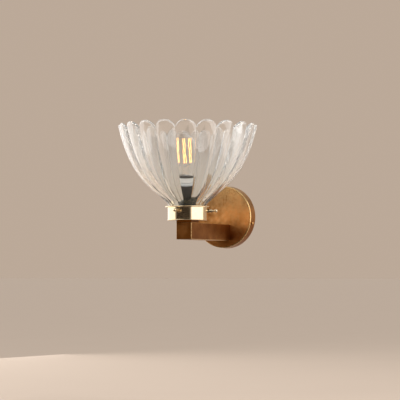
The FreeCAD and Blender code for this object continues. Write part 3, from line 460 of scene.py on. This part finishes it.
def glass_column(spread):
    """Points (radius, height) from the foot, up the outside, over the lip and down the inside."""
    quarter = math.pi * spread / 2
    angle = math.pi / FLUTES * (EVEN_SHARE * spread + (1 - EVEN_SHARE) * math.sin(quarter))
    top = numpy.interp(RIM_Z - SCALLOP * (1 - math.cos(quarter)), side_line[:, 1], side_length)
    outside, inside = [], []
    for row in range(ROWS + 1):
        here = top * row / ROWS
        r, z = on_side(here)
        lean = on_side(here + SLOPE_REACH) - on_side(max(here - SLOPE_REACH, 0))
        lean = lean / math.hypot(*lean)
        swell = max((r - NECK_R) / (RIM_R - NECK_R), 0) ** SWELL_GROWTH
        outside.append((lobe(r, SWELL_OUT * swell, angle), z))
        inside.append((lobe(r - GLASS_T * lean[1], SWELL_IN * swell, angle), z + GLASS_T * lean[0]))
    a, b = numpy.array(outside[-1]), numpy.array(inside[-1])
    lip = [(a + b) / 2 + (a - b) / 2 * math.cos(turn) + lean * math.hypot(*(a - b)) / 2 * math.sin(turn)
           for turn in numpy.linspace(0, math.pi, LIP_ROWS + 1)[1:-1]]
    return angle, outside + lip + inside[::-1]


columns = {step: glass_column(step / HALF_FLUTE) for step in range(-HALF_FLUTE, HALF_FLUTE + 1)}
glass = bmesh.new()
line = [glass.verts.new((1, 0, row)) for row in range(2 * ROWS + LIP_ROWS + 1)]
loop = [glass.edges.new(pair) for pair in zip(line, line[1:] + line[:1])]
bmesh.ops.spin(glass, geom=line + loop, axis=(0, 0, 1), cent=(0, 0, 0), angle=2 * math.pi,
               steps=FLUTES * 2 * HALF_FLUTE, use_merge=True)
for vert in glass.verts:
    step = round(math.atan2(vert.co.y, vert.co.x) / math.pi * FLUTES * HALF_FLUTE)
    flute = math.floor((step + HALF_FLUTE) / (2 * HALF_FLUTE))
    angle, points = columns[step - 2 * HALF_FLUTE * flute]
    turn = FIRST_FLUTE + 2 * math.pi * flute / FLUTES + angle
    r, height = points[round(vert.co.z)]
    vert.co = (r * math.sin(turn), LAMP_AXIS_Y - r * math.cos(turn), height)
bmesh.ops.recalc_face_normals(glass, faces=glass.faces)

clear_glass = Finish("pressed_glass", Roughness=0.02, IOR=1.5, Transmission_Weight=1.0,
                     Coat_IOR=1.9, Coat_Roughness=0.05)
x, y, z = clear_glass.axes()
polish = z.over(*POLISH_GROWS_Z)
clear_glass.set(Base_Color=clear_glass.tint(polish, GREENISH, CLEAR), Coat_Weight=polish)
clear_glass.grain(clear_glass.noise(PRESS_WAVES, 1.0), 0.00010)
nodes = clear_glass.nodes
# A white diffuse layer in streaks on the turned-away sides of the flutes is painted sheen, standing in for
# reflections of the side lights.
round_axis = x.maths("ARCTAN2", y - LAMP_AXIS_Y)
unrolled = nodes.node("ShaderNodeCombineXYZ", {}, {"X": STREAKS_ROUND * round_axis, "Y": STREAKS_UP * z})
streaks = nodes.noise(unrolled, 1.0, 2.0).over(*PAINTED_SHEEN_STREAKS)
turned_away = nodes.node("ShaderNodeLayerWeight", {}, {"Blend": 0.5}, "Facing").over(*PAINTED_SHEEN_TURNED)
painted_sheen_bsdf = nodes.node("ShaderNodeBsdfDiffuse", {}, {"Color": PAINTED_SHEEN_WHITE})
with_painted_sheen = nodes.node("ShaderNodeMixShader", {}, {
    0: PAINTED_SHEEN * (turned_away * polish * streaks),
    1: Socket(nodes.tree, clear_glass.shader.outputs["BSDF"]),
    2: painted_sheen_bsdf})
nodes.tree.links.new(with_painted_sheen.out, nodes.tree.nodes["Material Output"].inputs["Surface"])
shade = finished(glass, "shade_glass", "shade", clear_glass, GLASS_CREASE)
shade.visible_shadow = False

# ---- Lampholder ----
# A two-part black moulding with a satin skin, screwed on the stem, round an insulating core with brass
# terminals, a threaded brass shell and a sprung centre contact.
MOULDING_BLACK = (0.004, 0.005, 0.005)
MOULDING_GREY = (0.010, 0.011, 0.011)
moulding = Finish("black_moulding", Roughness=0.30, Specular_IOR_Level=0.25)
moulding.mottle(120, MOULDING_BLACK, MOULDING_GREY)
moulding.grain(moulding.noise(1600), 0.00004)
smooth_copy("lampholder_base", moulding)
smooth_copy("lampholder_skirt", moulding)
smooth_copy("lampholder_core", nylon)
for contact in ("holder_terminals", "thread_shell", "centre_contact"):
    smooth_copy(contact, turned_brass)

# ---- Lamp ----
# A clear candle bulb with a pale rolled screw cap and a dark collar. Round its glass stem stand four warm
# filaments on fine wires, each of three thin twisted strands. It screws into the lampholder.
CAP_SHADED = (0.90, 0.92, 0.93)
CAP_PALE = (0.97, 0.98, 0.98)
COLLAR_BLACK = (0.010, 0.011, 0.011)
COLLAR_GREY = (0.022, 0.023, 0.023)
BLOWN_CLEAR = (0.99, 0.99, 0.985)
GLOW_BODY = (1.0, 0.72, 0.34)
GLOW_RED = (1.0, 0.36, 0.07)
GLOW_AMBER = (1.0, 0.66, 0.26)
FILAMENTS = 4
FIRST_FILAMENT = 49
FILAMENT_RING_R = 0.0046
FILAMENT_LOW_Z = 0.0802
FILAMENT_L = 0.0380
STRANDS = 3
STRAND_TURNS = 0.6
STRAND_RING_R = 0.00062
STRAND_R = 0.00017
STRAND_SIDES = 6
STRAND_ROWS = 20

cap_metal = Finish("cap_metal", Metallic=0.45)
cap_metal.set(Roughness=0.40 + 0.10 * cap_metal.mottle(300, CAP_SHADED, CAP_PALE))
collar_plastic = Finish("collar_plastic", Roughness=0.5)
collar_plastic.mottle(200, COLLAR_BLACK, COLLAR_GREY)
lamp_glass = Finish("lamp_glass", Base_Color=BLOWN_CLEAR, Roughness=0.0, IOR=1.45, Transmission_Weight=1.0)
glow = Finish("filament_glow", Base_Color=GLOW_BODY, Roughness=0.6, Emission_Strength=2.6)
glow.set(Emission_Color=glow.tint(glow.noise(500), GLOW_RED, GLOW_AMBER))
smooth_copy("bulb_cap", cap_metal)
smooth_copy("bulb_insulator", moulding)
smooth_copy("bulb_tip", turned_brass)
smooth_copy("bulb_collar", collar_plastic)
for blown in ("bulb_glass", "bulb_stem"):
    smooth_copy(blown, lamp_glass).visible_shadow = False

strands = bmesh.new()
corner_turn = Matrix.Rotation(math.pi / STRAND_SIDES, 4, "Z")
rise = numpy.linspace(0, 1, STRAND_ROWS + 1)
for filament in range(FILAMENTS):
    seat = math.radians(FIRST_FILAMENT + 360 / FILAMENTS * filament)
    for strand in range(STRANDS):
        turns = 2 * math.pi * (strand / STRANDS + STRAND_TURNS * rise) + filament
        middles = [Vector((FILAMENT_RING_R * math.cos(seat) + STRAND_RING_R * math.cos(turn),
                           LAMP_AXIS_Y + FILAMENT_RING_R * math.sin(seat) + STRAND_RING_R * math.sin(turn),
                           FILAMENT_LOW_Z + FILAMENT_L * risen)) for turn, risen in zip(turns, rise)]
        ring = bmesh.ops.create_circle(strands, cap_ends=True, segments=STRAND_SIDES, radius=STRAND_R,
                                       matrix=Matrix.Translation(middles[0]) @ corner_turn)
        end = ring["verts"][0].link_faces[0]
        for below, middle in zip(middles, middles[1:]):
            grown = bmesh.ops.extrude_face_region(strands, geom=[end, *end.edges, *end.verts])
            end = next(part for part in grown["geom"] if isinstance(part, bmesh.types.BMFace))
            bmesh.ops.translate(strands, verts=end.verts, vec=middle - below)
bmesh.ops.recalc_face_normals(strands, faces=strands.faces)
finished(strands, "filament_strands", "bulb_filaments", glow)
smooth_copy("bulb_leads", zinc)

# ---- Studio ----
# A pale floor well below the fitting, a warm pale backdrop, and large soft lights on both sides and above.
# The room is dark behind the camera, and a dark card on the floor shows only in reflections, so polished
# metal shows light, dark and light, and the glass shows the pale sides in its flutes.
BACKDROP = (0.50, 0.398, 0.317)
CARD = (0.60, 0.59, 0.57)
DARK = (0.008, 0.006, 0.004)
ROOM_STOPS = [(0.11, DARK), (0.17, CARD), (0.70, CARD), (0.90, BACKDROP)]
FILL = (1.0, 0.99, 0.97, 1)
FILL_STRENGTH = 0.85
FLOOR_Z = -0.30
FLOOR_HALF = 60.0
FLOOR_SHADED = (0.580, 0.466, 0.378)
FLOOR_PALE = (0.596, 0.480, 0.390)
FLAG_HALF = 0.55
FLAG_PLACE = (0.18, -0.50, FLOOR_Z + 0.004)
FLAG_BLACK = (0.010, 0.008, 0.006)
FLAG_GREY = (0.016, 0.013, 0.010)
AIM = Vector((0, -0.12, 0.03))
scene = bpy.context.scene
scene.view_settings.view_transform = "Standard"


def sheet(name, half, place, weave, low, high):
    """A square sheet of matt cloth that lies flat and belongs to the studio."""
    flat = bmesh.new()
    bmesh.ops.create_grid(flat, x_segments=1, y_segments=1, size=half)
    bmesh.ops.translate(flat, verts=flat.verts, vec=place)
    mesh = bpy.data.meshes.new(name)
    flat.to_mesh(mesh)
    flat.free()
    cloth = Finish(name + "_cloth", Roughness=0.95, Specular_IOR_Level=0.1)
    cloth.mottle(weave, low, high)
    mesh.materials.append(cloth.material)
    laid = bpy.data.objects.new(name, mesh)
    scene.collection.objects.link(laid)
    return laid


sheet("studio_floor", FLOOR_HALF, (0, 0, FLOOR_Z), 4, FLOOR_SHADED, FLOOR_PALE)
flag = sheet("studio_flag", FLAG_HALF, FLAG_PLACE, 40, FLAG_BLACK, FLAG_GREY)
flag.visible_camera = flag.visible_diffuse = flag.visible_transmission = flag.visible_shadow = False

scene.world = bpy.data.worlds.new("studio_room")
scene.world.use_nodes = True
room_tree = scene.world.node_tree
room = Socket(room_tree)
direction = room.node("ShaderNodeTexCoord", {}, {}, "Generated")
toward_wall = room.node("ShaderNodeVectorMath", {"operation": "DOT_PRODUCT"},
                        {0: direction, 1: (0.0, 1.0, 0.0)}, "Value")
around = room.node("ShaderNodeValToRGB", {"stops": ROOM_STOPS}, {0: 0.5 + 0.5 * toward_wall})
ray_kinds = room.node("ShaderNodeLightPath", {}, {}).out.node.outputs
straight, bent, mirrored = (Socket(room_tree, ray_kinds[kind])
                            for kind in ("Is Camera Ray", "Is Transmission Ray", "Is Glossy Ray"))
fill = room.node("ShaderNodeBackground", {}, {"Color": FILL, "Strength": FILL_STRENGTH})
sides = room.node("ShaderNodeBackground", {}, {"Color": around, "Strength": 1.0})
backdrop = room.node("ShaderNodeBackground", {}, {"Color": (*BACKDROP, 1), "Strength": 1.0})
seen = room.node("ShaderNodeMixShader", {}, {0: bent + mirrored, 1: fill, 2: sides})
lit = room.node("ShaderNodeMixShader", {}, {0: straight, 1: seen, 2: backdrop})
room_tree.links.new(lit.out, room_tree.nodes["World Output"].inputs["Surface"])

for name, bearing, lift, reach, width, height, watts in (
    ("soft_left", -97, 0.15, 1.2, 2.6, 1.7, 14.0),
    ("soft_right", 88, 0.15, 1.2, 2.0, 1.7, 12.0),
    ("soft_top", -26, 0.62, 1.4, 1.4, 0.8, 5.0),
):
    lamp = bpy.data.lights.new(name, "AREA")
    lamp.shape = "RECTANGLE"
    lamp.size, lamp.size_y, lamp.energy = width, height, watts
    light = bpy.data.objects.new(name, lamp)
    turn = math.radians(bearing)
    light.location = AIM + Vector((math.sin(turn), -math.cos(turn), lift)) * reach
    light.rotation_euler = (AIM - light.location).to_track_quat("-Z", "Y").to_euler()
    light.visible_camera = False
    light.visible_transmission = False
    scene.collection.objects.link(light)

# ---- Camera ----
# It stands well back with a long lens, to the right of the fitting and a little below its middle, and looks
# slightly up.
BEARING = math.radians(26.61)
RISE = math.radians(-2.49)
DISTANCE = 2.63
LOOK_AT = Vector((0.00123, -0.100, 0.0242))
LENS = 151.83
SENSOR = 36.0
view = bpy.data.cameras.new("view")
view.lens = LENS
view.sensor_width = SENSOR
camera = bpy.data.objects.new("view", view)
sight = Vector((math.sin(BEARING) * math.cos(RISE), -math.cos(BEARING) * math.cos(RISE), math.sin(RISE)))
camera.location = LOOK_AT + DISTANCE * sight
camera.rotation_euler = (LOOK_AT - camera.location).to_track_quat("-Z", "Y").to_euler()
scene.collection.objects.link(camera)
scene.camera = camera
